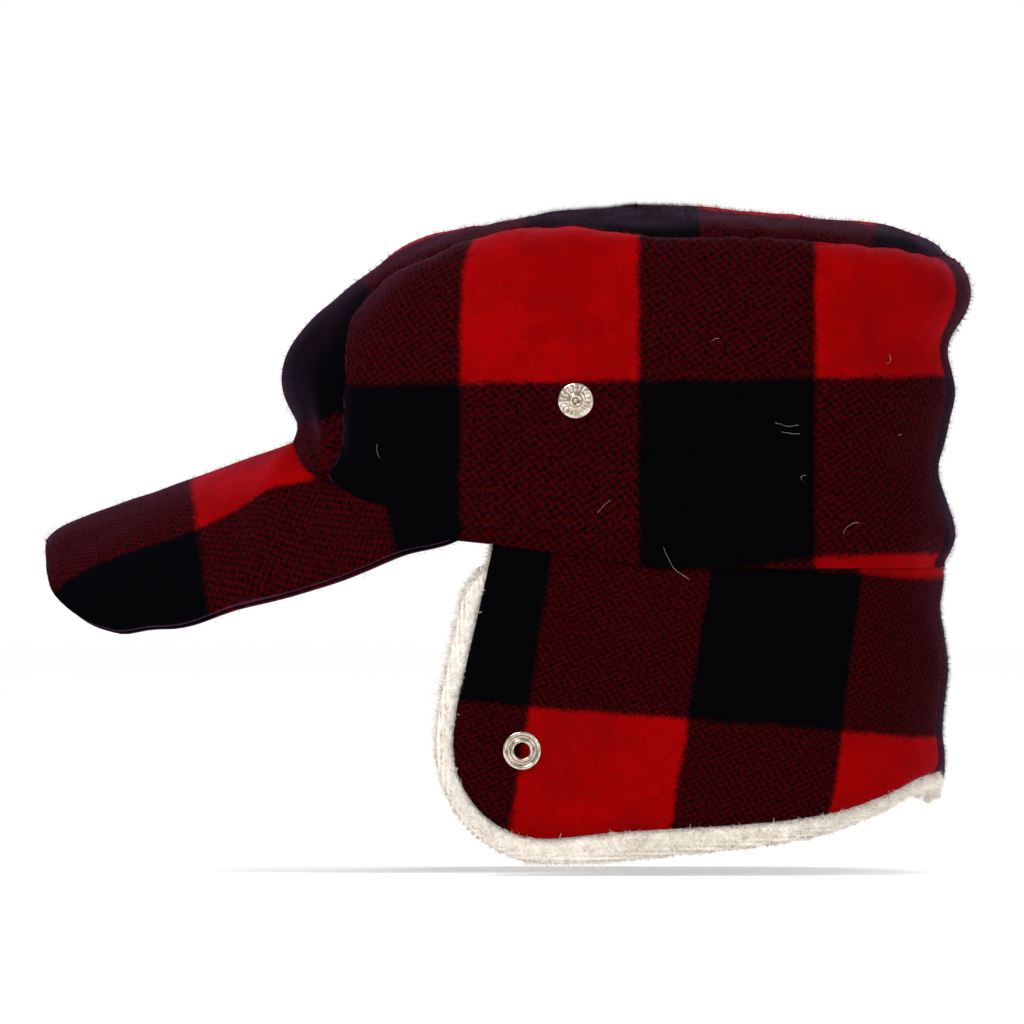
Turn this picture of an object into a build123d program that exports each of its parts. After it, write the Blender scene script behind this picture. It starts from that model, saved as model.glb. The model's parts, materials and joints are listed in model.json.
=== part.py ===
"""A wool hunting cap: a crown of three panels, an arched bill and one fold-down ear and neck flap.

Millimetres. The bill points to -X, the wearer's left is -Y and +Z is up. The origin is the centre
of the head opening, level with the lower edge of the crown's sides.
"""
from build123d import *
from math import atan2, cos, degrees, radians, sin, sqrt, tan
import os

# ---- crown -------------------------------------------------------------------------------------
crown_length = 208.0        # front to back at the lower edge
crown_width = 170.0         # across the sides
crown_height = 117.0
crown_rear_radius = 60.0    # rear corners, seen from above
crown_front_radius = 72.0   # front corners, seen from above
wool = 3.0                  # thickness of the outer cloth
lining = 2.0                # thickness of the quilted lining
sweatband_height = 32.0
sweatband_thickness = 1.2
edge_rise_start = 11.0      # where the lower edge starts to rise towards the bill
edge_rise_slope = 8.3       # degrees, along the front of the ear flap
seam_depth = 10.0           # how far the top seam lies below the top of the crown
seam_rear_share = 0.82      # height of the seam at the back, as a share of the crown's
front_edge_z = 38.61        # height of the crown's front edge over the bill
edge_front_z = (10.998, 19.539, 24.687)     # heights of the bends of the lower edge beside the bill
label_width = 34.0
label_height = 20.0
label_thickness = 0.5
label_corner = 1.5
# ---- bill --------------------------------------------------------------------------------------
bill_reach = 84.0           # tip, ahead of the crown's lower edge
bill_slope = 20.0           # degrees down to the front
bill_tip_half = 58.0        # half-width of the arch at the tip
bill_root_half = 84.5       # half-width of the arch at the crown
bill_arch = 58.0            # height of the arch
bill_wool = 2.5
bill_board_thickness = 2.0
bill_board_inset = 3.0      # how far the board's rim lies inside the covers' seam
bill_overrun = 4.0          # the arch is drawn this far past the tip, then cut to the outline
bill_root_bury = 0.5        # how far the sides' ends reach inside the crown's face
bill_root_lag = 7.08        # the bill's sides end this far behind the front of the flap
bill_blunt_share = 0.5      # straight part of the tip, as a share of its half-width
# ---- flap --------------------------------------------------------------------------------------
pile = 7.0                  # thickness of the sherpa
flap_inset = 1.0            # the flap hangs this far inside the crown's outer face
fold_stand_off = 2.5        # the fold line lies this far outside the flap's outer face
flap_gap = 0.5              # between the crown's lower edge and the flap
segment_gap = 0.5           # between neighbouring segments of the flap
ear_seam_x = -5.0           # where the ear segment meets the side segment
flap_front_bottom = -90.0
flap_side_bottom = -80.0
flap_rear_bottom = -65.0
flap_front_x = -57.0
flap_front_lean = 14.4      # how much further back the front edge starts at its top
flap_corner_radius = 28.0
flap_bottom_bend = 0.56     # where the lower edge starts to rise, as a share of the half-length
pile_corner_extra = 6.0     # added to the front corner's radius for the pile
pile_front_top_share = 0.9  # share of the pile's front overhang kept at the top of its front edge
pile_overhang_front = 6.0
pile_overhang_bottom = 8.5
pile_overhang_rear = 3.0
tilt_shares = (1.0, 2 / 3, 4 / 9, 2 / 9, 0.0)   # fold-line slope of each segment, front to rear
segment_head = 12.0         # segments are drawn up to this height, then cut to the outline
segment_reach = 120.0       # and down to this depth
swing_clearance = 0.4       # degrees that neighbours lean apart beyond what their slopes ask
corner_lean_saved = 1.0     # degrees of that lean which a corner does without
least_lean = 0.3            # degrees
# ---- snap fastener -----------------------------------------------------------------------------
stud_x = -16.2
stud_below_bend = 11.52     # the stud's centre, below the height where the sides start to lean in
socket_x = -33.5
ear_fold_z = -2.3           # height of the ear's fold line, midway between the stud and the socket
stud_flange_radius = 5.85
stud_radius = 2.2
stud_height = 3.7
stud_flange_thickness = 0.8
shank_radius = 1.5
snap_back_radius = 5.0
snap_back_thickness = 0.8
socket_radius = 6.35
socket_rise = 1.2
socket_clearance = 0.35
barrel_wall = 1.1
ring_groove = 0.5
snap_fit = 0.1              # between metal and cloth
flange_rounding = 0.5
stud_rounding = 0.6

# ---- worked out --------------------------------------------------------------------------------
half_length = crown_length / 2
half_width = crown_width / 2
side_face = half_width - flap_inset
upright_share = 0.56        # share of the crown's height up to which its sides stand upright
stud_z = upright_share * crown_height - stud_below_bend
socket_z = 2 * ear_fold_z - stud_z
fold_tilt = degrees(atan2(stud_x - socket_x, stud_z - socket_z))
fold_x = (stud_x + socket_x) / 2
corner_x = half_length - crown_rear_radius
corner_y = half_width - crown_rear_radius
corner_radius = crown_rear_radius - flap_inset
corner_turn = 90 / 3        # the side, corner, quarter and neck segments share a right angle
corner_half = corner_radius * tan(radians(corner_turn / 2))
far = 4 * crown_length
past_front = crown_length / 2
cut_depth = wool + pile + 10            # deeper than the flap is thick

# height, front, back and half-width of the crown at each level, as shares of its driving sizes
crown_levels = (
    (0.00, 1.000, 1.000, 1.000),
    (0.30, 1.035, 1.000, 1.000),
    (upright_share, 1.060, 1.019, 1.000),
    (0.75, 0.885, 1.050, 0.976),
    (0.88, 0.690, 0.975, 0.894),
    (0.96, 0.450, 0.720, 0.720),
    (1.00, 0.200, 0.290, 0.330),
)


def crown_solid(inset):
    """The crown's outer form, drawn in by inset on every side but the open bottom."""
    x_scale = (half_length - inset) / half_length
    y_scale = (half_width - inset) / half_width
    z_scale = (crown_height - inset) / crown_height
    with BuildPart() as form:
        for height, front, back, half in crown_levels:
            z = height * crown_height * z_scale
            x0 = -front * half_length * x_scale
            x1 = back * half_length * x_scale
            y = half * half_width * y_scale
            with BuildSketch(Plane.XY.offset(z)) as level:
                with Locations(((x0 + x1) / 2, 0)):
                    Rectangle(x1 - x0, 2 * y)
                fillet(level.vertices().group_by(Axis.X)[0], crown_front_radius * half * y_scale)
                fillet(level.vertices().group_by(Axis.X)[-1], crown_rear_radius * half * y_scale)
        loft(ruled=True)
    return form.part


rise = tan(radians(edge_rise_slope))


def lower_edge(drop=0.0):
    """Side view of the crown's lower edge, from the back to the front, lowered by drop."""
    return [
        (far, -drop),
        (edge_rise_start, -drop),
        (-0.41 * half_length, (edge_rise_start + 0.41 * half_length) * rise - drop),
        (-0.73 * half_length, edge_front_z[0] - drop),
        (-0.88 * half_length, edge_front_z[1] - drop),
        (-1.01 * half_length, edge_front_z[2] - drop),
        (-1.10 * half_length, front_edge_z - drop),
        (-far, front_edge_z - drop),
    ]


def side_prism(points):
    """A prism right across the cap whose side view is the polygon points, given as (x, z)."""
    with BuildPart() as prism:
        with BuildSketch(Plane.XZ):
            with BuildLine():
                Polyline(*points, close=True)
            make_face()
        extrude(amount=far / 2, both=True)
    return prism.part


def seam_profile(inset):
    """Side view of all that lies above and ahead of the top panel's seam, in the layer at inset."""
    top = crown_height - seam_depth
    x_scale = (half_length - inset) / half_length
    z_scale = (crown_height - inset) / crown_height
    outline = [
        (far, seam_rear_share * crown_height),
        (1.01 * half_length, seam_rear_share * crown_height),
        (0.86 * half_length, top - 3),
        (0.45 * half_length, top + 1),
        (-0.20 * half_length, top + 4),
        (-0.50 * half_length, top - 2),
        (-0.76 * half_length, 0.81 * crown_height),
        (-0.87 * half_length, 0.70 * crown_height),
        (-0.90 * half_length, 0.30 * crown_height),
        (-0.92 * half_length, -far),
        (-far, -far),
        (-far, far),
        (far, far),
    ]
    return [(x * x_scale, z * z_scale) for x, z in outline]


crown_outer = crown_solid(0)
crown_wool_inside = crown_solid(wool)
crown_lining_inside = crown_solid(wool + lining)
crown_band_inside = crown_solid(wool + lining + sweatband_thickness)
below_edge = side_prism(lower_edge() + [(-far, -far), (far, -far)])
os.makedirs("parts", exist_ok=True)


def finish(piece, name):
    piece.label = name
    export_step(piece, f"parts/{name}.step")


def crown_panels(outer, inner, inset, name):
    """One layer of the crown, in a top and front panel and two sides sewn at the centre back."""
    top_and_front = side_prism(seam_profile(inset))
    with BuildPart() as front:
        add(outer)
        add(inner, mode=Mode.SUBTRACT)
        add(below_edge, mode=Mode.SUBTRACT)
        add(top_and_front, mode=Mode.INTERSECT)
    finish(front.part, f"{name}_top_front")
    for side, keep in (("left", Keep.BOTTOM), ("right", Keep.TOP)):
        with BuildPart() as half:
            add(outer)
            add(inner, mode=Mode.SUBTRACT)
            add(below_edge, mode=Mode.SUBTRACT)
            add(top_and_front, mode=Mode.SUBTRACT)
            split(bisect_by=Plane.XY.rotated((-90, 0, 0)), keep=keep)
            if name == "crown":
                face_y = half_width if side == "right" else -half_width
                with BuildSketch(Plane.XZ.offset(-face_y)):
                    with Locations((stud_x, stud_z)):
                        Circle(shank_radius + snap_fit)
                extrude(amount=2 * wool, both=True, mode=Mode.SUBTRACT)
        finish(half.part, f"{name}_side_{side}")


crown_panels(crown_outer, crown_wool_inside, 0, "crown")

# the lining is cut away round the back plate of each stud
with BuildPart() as stud_relief:
    with BuildSketch(Plane.XZ):
        with Locations((stud_x, stud_z)):
            Circle(snap_back_radius + snap_fit)
    extrude(amount=half_width - wool + snap_back_thickness + snap_fit, both=True)
    with BuildSketch(Plane.XZ):
        with Locations((stud_x, stud_z)):
            Circle(snap_back_radius + snap_fit)
    extrude(amount=half_width - wool - snap_back_thickness - snap_fit, both=True, mode=Mode.SUBTRACT)
with BuildPart() as lining_form:
    add(crown_wool_inside)
    add(stud_relief.part, mode=Mode.SUBTRACT)
crown_panels(lining_form.part, crown_lining_inside, wool, "lining")

# ---- sweatband and label -----------------------------------------------------------------------
with BuildPart() as sweatband:
    add(crown_lining_inside)
    add(crown_band_inside, mode=Mode.SUBTRACT)
    add(below_edge, mode=Mode.SUBTRACT)
    add(side_prism(lower_edge(-sweatband_height) + [(-far, -far), (far, -far)]), mode=Mode.INTERSECT)
finish(sweatband.part, "sweatband")

band_back = half_length - wool - lining - sweatband_thickness
with BuildPart() as care_label:
    with BuildSketch(Plane.YZ.offset(band_back - label_thickness)):
        with Locations((0, sweatband_height / 2)):
            RectangleRounded(label_width, label_height, label_corner)
    extrude(amount=label_thickness)
finish(care_label.part, "care_label")

# ---- bill --------------------------------------------------------------------------------------
bill_root_x = flap_front_x + bill_root_lag
bill_tip_x = -(half_length + bill_reach + bill_overrun)
bill_drop = tan(radians(bill_slope))


def bill_solid(inset):
    """The filled arch under the bill's upper face, drawn in by inset."""
    with BuildPart() as arch:
        for x, half in ((bill_tip_x, bill_tip_half), (bill_root_x, bill_root_half)):
            top = front_edge_z + (x + 1.09 * half_length) * bill_drop
            with BuildSketch(Plane.YZ.offset(x)):
                with Locations((0, top - bill_arch)):
                    Ellipse(half - inset, bill_arch - inset)
                    with Locations((0, -bill_arch)):
                        Rectangle(4 * half, 2 * bill_arch, mode=Mode.SUBTRACT)
        loft(ruled=True)
    return arch.part


def bill_outline(inset):
    """Everything inside the bill's outline, seen from above, drawn in by inset."""
    tip = -(half_length + bill_reach) + inset
    blunt = bill_blunt_share * bill_tip_half
    shoulder = (tip + 0.15 * bill_reach, 0.90 * bill_tip_half - inset)
    side_start = (tip + 0.40 * bill_reach, 1.07 * bill_tip_half - inset)
    corner_run = bill_root_x + half_length - crown_front_radius
    crown_at_root = half_width - crown_front_radius + sqrt(crown_front_radius**2 - corner_run**2)
    root = (bill_root_x, crown_at_root + bill_root_bury - inset)
    side_way = (root[0] - side_start[0], root[1] - side_start[1])
    with BuildPart() as prism:
        with BuildSketch():
            with BuildLine():
                Line((tip, -blunt), (tip, blunt))
                bend = Spline((tip, blunt), shoulder, side_start, tangents=[(0, 1), side_way])
                side = Line(side_start, root)
                mirror(bend, about=Plane.XZ)
                mirror(side, about=Plane.XZ)
                Line(root, (root[0], -root[1]))
            make_face()
        extrude(amount=far / 2, both=True)
    return prism.part


bill_rim = bill_outline(0)
bill_board_rim = bill_outline(bill_board_inset)
bill_board_top = bill_solid(bill_wool)
bill_board_bottom = bill_solid(bill_wool + bill_board_thickness)

with BuildPart() as board_pocket:
    add(bill_board_top)
    add(bill_board_rim, mode=Mode.INTERSECT)

with BuildPart() as bill_cover_top:
    add(bill_solid(0))
    add(bill_board_bottom, mode=Mode.SUBTRACT)
    add(bill_rim, mode=Mode.INTERSECT)
    add(board_pocket.part, mode=Mode.SUBTRACT)
    add(crown_outer, mode=Mode.SUBTRACT)
finish(bill_cover_top.part, "bill_cover_top")

with BuildPart() as bill_board:
    add(bill_board_top)
    add(bill_board_bottom, mode=Mode.SUBTRACT)
    add(bill_board_rim, mode=Mode.INTERSECT)
    add(crown_outer, mode=Mode.SUBTRACT)
# the crown's face leaves loose chips at the board's two rear corners, where the board isn't carried
board = max(bill_board.part.solids(), key=lambda solid: solid.volume)
finish(board, "bill_board")

with BuildPart() as bill_cover_under:
    add(bill_board_bottom)
    add(bill_solid(2 * bill_wool + bill_board_thickness), mode=Mode.SUBTRACT)
    add(bill_rim, mode=Mode.INTERSECT)
    add(crown_outer, mode=Mode.SUBTRACT)
finish(bill_cover_under.part, "bill_cover_under")

# ---- snap studs on the crown -------------------------------------------------------------------
for side, way in (("left", -1), ("right", 1)):
    outward = Plane(origin=(stud_x, way * half_width, stud_z), x_dir=(1, 0, 0), z_dir=(0, way, 0))
    with BuildPart() as stud:
        with BuildSketch(outward):
            Circle(stud_flange_radius)
        extrude(amount=stud_flange_thickness)
        fillet(stud.edges().group_by(Axis.Y)[-1 if way > 0 else 0], flange_rounding)
        with BuildSketch(outward.offset(stud_flange_thickness)):
            Circle(stud_radius)
        extrude(amount=stud_height - stud_flange_thickness)
        fillet(stud.edges().group_by(Axis.Y)[-1 if way > 0 else 0], stud_rounding)
    finish(stud.part, f"snap_stud_{side}")
    with BuildPart() as post:
        with BuildSketch(outward.offset(-wool)):
            Circle(shank_radius)
        extrude(amount=wool)
        with BuildSketch(outward.offset(-wool)):
            Circle(snap_back_radius)
        extrude(amount=-snap_back_thickness)
    finish(post.part, f"snap_stud_post_{side}")


# ---- ear and neck flap -------------------------------------------------------------------------
def flap_outline(front_out, bottom_out, rear_out, radius):
    """Side view of the flap, grown past the wool's edge at the front, the bottom and the rear."""
    front_top = flap_front_x + flap_front_lean - pile_front_top_share * front_out
    back = half_length + rear_out
    edge_z = (edge_rise_start - front_top) * rise
    with BuildPart() as prism:
        with BuildSketch(Plane.XZ) as outline:
            with BuildLine():
                Polyline(
                    (front_top, edge_z - flap_gap),
                    (flap_front_x - front_out, flap_front_bottom - bottom_out),
                    (flap_bottom_bend * half_length, flap_side_bottom - bottom_out),
                    (back, flap_rear_bottom - rear_out),
                    (back, -flap_gap),
                    (edge_rise_start, -flap_gap),
                    close=True,
                )
            make_face()
            fillet(outline.vertices().sort_by(Axis.Y)[0], radius)
        extrude(amount=far / 2, both=True)
    return prism.part


wool_outline = flap_outline(0, 0, 0, flap_corner_radius)
pile_outline = flap_outline(
    pile_overhang_front,
    pile_overhang_bottom,
    pile_overhang_rear,
    flap_corner_radius + pile_corner_extra,
)


# Each segment: its name, its turn from the side's direction, its two ends along the tangent
# measured from the point where its face touches the plan, and whether each end is a corner.
touch_side = corner_x
segments = (
    ("ear_flap", 0, -past_front, ear_seam_x - touch_side, False, False),
    ("side_flap", 0, ear_seam_x - touch_side, corner_half, False, True),
    ("corner_flap", corner_turn, -corner_half, corner_half, True, True),
    ("quarter_flap", 2 * corner_turn, -corner_half, corner_half, True, True),
    ("neck_flap", 3 * corner_turn, -corner_half, corner_half + 2 * corner_y, True, True),
)


def fold_lines():
    """Where each segment's fold line crosses the middle of its width, and its slope in degrees."""
    found = []
    z = ear_fold_z - (ear_seam_x - fold_x) * tan(radians(fold_tilt))
    for (name, turn, start, end, _, _), share in zip(segments, tilt_shares):
        slope = fold_tilt * share
        if name == "ear_flap":
            found.append((fold_x - touch_side, ear_fold_z, slope))
            continue
        drop = (end - start) * tan(radians(slope))
        found.append(((start + end) / 2, z - drop / 2, slope))
        z -= drop
    return found


def slab_plane(turn):
    """The flap's outer face at this turn: x along the band to the rear, y up, z outward."""
    angle = radians(turn)
    normal = (sin(angle), -cos(angle), 0)
    origin = (corner_x + corner_radius * normal[0], -corner_y + corner_radius * normal[1], 0)
    return Plane(origin=origin, x_dir=(cos(angle), sin(angle), 0), z_dir=normal)


def relief(share, other_share, corner):
    """How far one end leans in, going down, so that neighbours folded at two slopes stay apart."""
    lean = fold_tilt * abs(share - other_share)
    return max(lean + swing_clearance - corner * corner_lean_saved, least_lean)


def segment_slab(index, depth, thickness):
    """A segment's slab, with its outer face at depth behind the flap's outer face."""
    name, turn, start, end, start_corner, end_corner = segments[index]
    middle, fold_height, slope = fold_lines()[index]
    before = tilt_shares[max(index - 1, 0)]
    after = tilt_shares[min(index + 1, len(segments) - 1)]
    lean_in = relief(tilt_shares[index], before, start_corner)
    lean_out = relief(tilt_shares[index], after, end_corner)
    if name == "neck_flap":
        lean_out = lean_in
    # above the fold line a corner segment swings inward, so its ends lean in there too,
    # by its height over the line plus its depth at the crown's edge
    lean_rate = (depth + thickness - fold_height) / -fold_height * tan(radians(corner_turn / 2))
    head_lean = (segment_head - fold_height) * lean_rate
    start_head = start + start_corner * head_lean
    end_head = end - end_corner * head_lean
    start_foot = start + (segment_reach + fold_height) * tan(radians(lean_in))
    end_foot = end - (segment_reach + fold_height) * tan(radians(lean_out))
    if name == "ear_flap":
        start_foot = start
    with BuildPart() as slab:
        with BuildSketch(slab_plane(turn).offset(-depth)):
            with BuildLine():
                Polyline(
                    (start_head + segment_gap / 2, segment_head),
                    (start + segment_gap / 2, fold_height),
                    (start_foot + segment_gap / 2, -segment_reach),
                    (end_foot - segment_gap / 2, -segment_reach),
                    (end - segment_gap / 2, fold_height),
                    (end_head - segment_gap / 2, segment_head),
                    close=True,
                )
            make_face()
        extrude(amount=-thickness)
        # round the corners, each end is cut back to the plane midway between the neighbours
        lean = cut_depth * tan(radians(corner_turn / 2))
        plan = Plane(
            origin=(slab_plane(turn).origin.X, slab_plane(turn).origin.Y, -far / 2),
            x_dir=slab_plane(turn).x_dir,
            z_dir=(0, 0, 1),
        )
        left = start + segment_gap / 2
        right = end - segment_gap / 2
        with BuildSketch(plan):
            with BuildLine():
                Polyline(
                    (left, 0),
                    (left + start_corner * lean, cut_depth),
                    (right - end_corner * lean, cut_depth),
                    (right, 0),
                    close=True,
                )
            make_face()
        extrude(amount=far, mode=Mode.INTERSECT)
    return slab.part


ear_face = Plane(
    origin=(socket_x, -side_face, socket_z), x_dir=(1, 0, 0), z_dir=(0, -1, 0)
)
barrel_radius = stud_radius + socket_clearance + barrel_wall


def segment_pieces(index):
    """The wool and the pile of one segment of the flap's left side or its middle."""
    with BuildPart() as cloth:
        add(segment_slab(index, 0, wool))
        add(wool_outline, mode=Mode.INTERSECT)
        if index == 0:
            with BuildSketch(ear_face):
                Circle(barrel_radius + snap_fit)
            extrude(amount=-wool, mode=Mode.SUBTRACT)
    with BuildPart() as fleece:
        add(segment_slab(index, wool, pile))
        add(pile_outline, mode=Mode.INTERSECT)
        if index == 0:
            with BuildSketch(ear_face.offset(-wool)):
                Circle(snap_back_radius + snap_fit)
            extrude(amount=-(snap_back_thickness + snap_fit), mode=Mode.SUBTRACT)
    return cloth.part, fleece.part


def finish_pair(piece, name):
    """Writes a piece of the left side, and its mirror image for the right side."""
    finish(piece, f"{name}_left")
    with BuildPart() as other:
        add(mirror(piece, about=Plane.XZ, mode=Mode.PRIVATE))
    finish(other.part, f"{name}_right")


for index, segment in enumerate(segments):
    cloth, fleece = segment_pieces(index)
    name = segment[0]
    if name == "neck_flap":
        finish(cloth, "neck_flap_wool")
        finish(fleece, "neck_flap_pile")
    else:
        finish_pair(cloth, f"{name}_wool")
        finish_pair(fleece, f"{name}_pile")

# ---- snap sockets on the ear segments ----------------------------------------------------------
bore = stud_radius + socket_clearance
with BuildPart() as socket:
    with BuildSketch(ear_face):
        Circle(socket_radius)
    extrude(amount=socket_rise)
    fillet(socket.edges().group_by(Axis.Y)[0], flange_rounding)
    with BuildSketch(ear_face):
        Circle(barrel_radius)
    extrude(amount=-wool)
    with BuildSketch(ear_face.offset(socket_rise)):
        Circle(bore)
    extrude(amount=-(socket_rise + wool), mode=Mode.SUBTRACT)
    with BuildSketch(ear_face.offset(-wool / 2)):
        Circle(bore + ring_groove)
    extrude(amount=ring_groove, mode=Mode.SUBTRACT)
finish_pair(socket.part, "snap_socket")

with BuildPart() as ring:
    with BuildSketch(ear_face.offset(-wool / 2)):
        Circle(bore + ring_groove)
        Circle(bore, mode=Mode.SUBTRACT)
    extrude(amount=ring_groove)
finish_pair(ring.part, "snap_ring")

with BuildPart() as socket_cap:
    with BuildSketch(ear_face.offset(-wool)):
        Circle(snap_back_radius)
    extrude(amount=-snap_back_thickness)
finish_pair(socket_cap.part, "snap_socket_cap")

# ---- fold lines, for the joints ----------------------------------------------------------------
for (name, turn, *_), (middle, height, slope) in zip(segments, fold_lines()):
    line = slab_plane(turn).offset(fold_stand_off)
    at = line.from_local_coords(Vector(middle, height, 0))
    tip = line.from_local_coords(Vector(middle + cos(radians(slope)), height - sin(radians(slope)), 0))
    way = tip - at
    print(name, "origin", [round(v, 4) for v in at], "axis", [round(v, 6) for v in way])
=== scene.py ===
"""The looks of the plaid trapper hat: wool, sherpa, quilted lining and nickel snaps.

Shapes are worked out in millimetres and written to meshes in metres. The bill points to -X, the
wearer's left is -Y and +Z is up. Every cloth surface is a grid in pattern space, clipped along its
seams, displaced along its normals and closed to a shell.
"""
import json
import math

import bpy
import numpy as np
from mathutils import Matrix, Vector, kdtree, noise


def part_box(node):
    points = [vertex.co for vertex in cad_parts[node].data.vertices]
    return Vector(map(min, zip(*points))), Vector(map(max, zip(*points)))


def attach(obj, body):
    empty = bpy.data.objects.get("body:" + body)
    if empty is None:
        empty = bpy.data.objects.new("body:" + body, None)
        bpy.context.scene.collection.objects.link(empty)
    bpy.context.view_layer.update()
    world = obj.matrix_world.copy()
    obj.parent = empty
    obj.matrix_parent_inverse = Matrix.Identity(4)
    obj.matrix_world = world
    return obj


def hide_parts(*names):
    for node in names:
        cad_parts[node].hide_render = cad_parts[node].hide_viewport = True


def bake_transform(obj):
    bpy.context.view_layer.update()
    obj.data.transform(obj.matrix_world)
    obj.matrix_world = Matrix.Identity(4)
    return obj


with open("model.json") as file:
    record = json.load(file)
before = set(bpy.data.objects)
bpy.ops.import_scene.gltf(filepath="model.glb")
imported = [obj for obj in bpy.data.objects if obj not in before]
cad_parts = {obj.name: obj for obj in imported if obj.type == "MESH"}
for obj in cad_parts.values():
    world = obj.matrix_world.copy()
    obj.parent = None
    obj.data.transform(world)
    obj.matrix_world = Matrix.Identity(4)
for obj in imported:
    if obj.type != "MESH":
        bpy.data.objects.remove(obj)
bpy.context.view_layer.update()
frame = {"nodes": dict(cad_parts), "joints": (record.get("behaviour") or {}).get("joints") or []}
MM = 0.001
rng = np.random.default_rng(7)


# ---- sizes from the frame ------------------------------------------------------------------------
def box_mm(node):
    low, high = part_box(node)
    return np.array(low) / MM, np.array(high) / MM


HALF_WIDTH = -box_mm("crown_side_left")[0][1]
HEIGHT = box_mm("crown_top_front")[1][2]
FLAP_FACE = -box_mm("ear_flap_wool_left")[0][1]
HALF_LENGTH = 104.0
FRONT_RADIUS, REAR_RADIUS = 72.0, 60.0
WOOL, LINING = 3.0, 2.0
PERIOD = 57.5                       # one check of the plaid
STUD = sum(box_mm("snap_stud_left")) / 2
SOCKET = sum(box_mm("snap_socket_left")) / 2
FOLDS = {j["child"]: (np.array(j["pos_m"]) / MM, np.array(j["axis"])) for j in frame["joints"]}

# height, front, back and half-width of the crown at each level, as in the CAD; the last closes it
LEVELS = np.array([
    (0.00, 1.000, 1.000, 1.000),
    (0.30, 1.035, 1.000, 1.000),
    (0.56, 1.060, 1.019, 1.000),
    (0.75, 0.885, 1.050, 0.976),
    (0.88, 0.690, 0.975, 0.894),
    (0.96, 0.450, 0.720, 0.720),
    (1.00, 0.200, 0.290, 0.330),
    (1.003, 0.00, 0.000, 0.000),
])

# lengths of the stretches of the crown's plan at its lower edge, from centre front to centre back
FRONT_STRAIGHT = HALF_WIDTH - FRONT_RADIUS
FRONT_ARC = FRONT_RADIUS * math.pi / 2
SIDE_START = FRONT_STRAIGHT + FRONT_ARC
SIDE_STRAIGHT = 2 * HALF_LENGTH - FRONT_RADIUS - REAR_RADIUS
REAR_START = SIDE_START + SIDE_STRAIGHT
REAR_ARC = REAR_RADIUS * math.pi / 2
BACK_START = REAR_START + REAR_ARC
PLAN_LENGTH = BACK_START + HALF_WIDTH - REAR_RADIUS


def smoothstep(a, b, x):
    t = np.clip((np.asarray(x, float) - a) / (b - a), 0, 1)
    return t * t * (3 - 2 * t)


def bump(x, centre, width):
    return np.exp(-(((x - centre) / width) ** 2))


def spline(keys, t):
    """Catmull-Rom through the rows of keys, at parameters t from 0 to len(keys) - 1."""
    keys = np.asarray(keys, float)
    padded = np.vstack([2 * keys[0] - keys[1], keys, 2 * keys[-1] - keys[-2]])
    i = np.clip(np.floor(t).astype(int), 0, len(keys) - 2)
    f = (t - i)[:, None]
    p0, p1, p2, p3 = (padded[i + k] for k in range(4))
    a = 2 * p1
    b = (p2 - p0) * f
    c = (2 * p0 - 5 * p1 + 4 * p2 - p3) * f ** 2
    d = (3 * p1 - p0 - 3 * p2 + p3) * f ** 3
    return 0.5 * (a + b + c + d)


def plan_point(s, front, back, half):
    """Plan of one level at plan length s from centre front, and the length along it from x = 0."""
    rf = FRONT_RADIUS * half / HALF_WIDTH
    rr = REAR_RADIUS * half / HALF_WIDTH
    x, y, run = np.zeros_like(s), np.zeros_like(s), np.zeros_like(s)
    share = s / FRONT_STRAIGHT
    m = s <= FRONT_STRAIGHT
    x[m], y[m] = -front[m], (half - rf)[m] * share[m]
    run[m] = (-front + rf * (1 - math.pi / 2) - (half - rf) * (1 - share))[m]
    angle = (s - FRONT_STRAIGHT) / FRONT_RADIUS
    m = (s > FRONT_STRAIGHT) & (s <= SIDE_START)
    x[m] = (-front + rf)[m] - rf[m] * np.cos(angle[m])
    y[m] = (half - rf)[m] + rf[m] * np.sin(angle[m])
    run[m] = (-front + rf - rf * (math.pi / 2 - angle))[m]
    share = (s - SIDE_START) / SIDE_STRAIGHT
    m = (s > SIDE_START) & (s <= REAR_START)
    x[m] = (-front + rf)[m] + (front + back - rf - rr)[m] * share[m]
    y[m] = half[m]
    run[m] = x[m]
    angle = (s - REAR_START) / REAR_RADIUS
    m = (s > REAR_START) & (s <= BACK_START)
    x[m] = (back - rr)[m] + rr[m] * np.sin(angle[m])
    y[m] = (half - rr)[m] + rr[m] * np.cos(angle[m])
    run[m] = (back - rr + rr * angle)[m]
    share = (PLAN_LENGTH - s) / (PLAN_LENGTH - BACK_START)
    m = s > BACK_START
    x[m], y[m] = back[m], (half - rr)[m] * share[m]
    run[m] = (back - rr + rr * math.pi / 2 + (half - rr) * (1 - share))[m]
    return x, -y, run


# ---- cloth as arrays: one row per point, x y z u v -----------------------------------------------
def grid_faces(columns, rows):
    a = np.arange(columns * rows).reshape(columns, rows)
    quads = np.stack([a[:-1, :-1], a[1:, :-1], a[1:, 1:], a[:-1, 1:]], -1)
    return [tuple(q) for q in quads.reshape(-1, 4)]


def clip(points, faces, value):
    """The part of the mesh where value is positive, with new points where it crosses zero."""
    points, value = list(points), list(value)
    kept, cuts = [], {}

    def cut(i, j):
        key = (min(i, j), max(i, j))
        if key not in cuts:
            share = value[i] / (value[i] - value[j])
            cuts[key] = len(points)
            points.append(points[i] + (points[j] - points[i]) * share)
            value.append(0.0)
        return cuts[key]

    for face in faces:
        signs = [value[i] > 0 for i in face]
        if all(signs):
            kept.append(face)
        elif any(signs):
            ring = []
            for k, i in enumerate(face):
                j = face[(k + 1) % len(face)]
                if signs[k]:
                    ring.append(i)
                if signs[k] != (value[j] > 0):
                    ring.append(cut(i, j))
            if len(ring) > 2:
                kept.append(tuple(ring))
    used = sorted({i for f in kept for i in f})
    place = {i: k for k, i in enumerate(used)}
    points = np.array([points[i] for i in used])
    return points, [tuple(place[i] for i in f) for f in kept]


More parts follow.
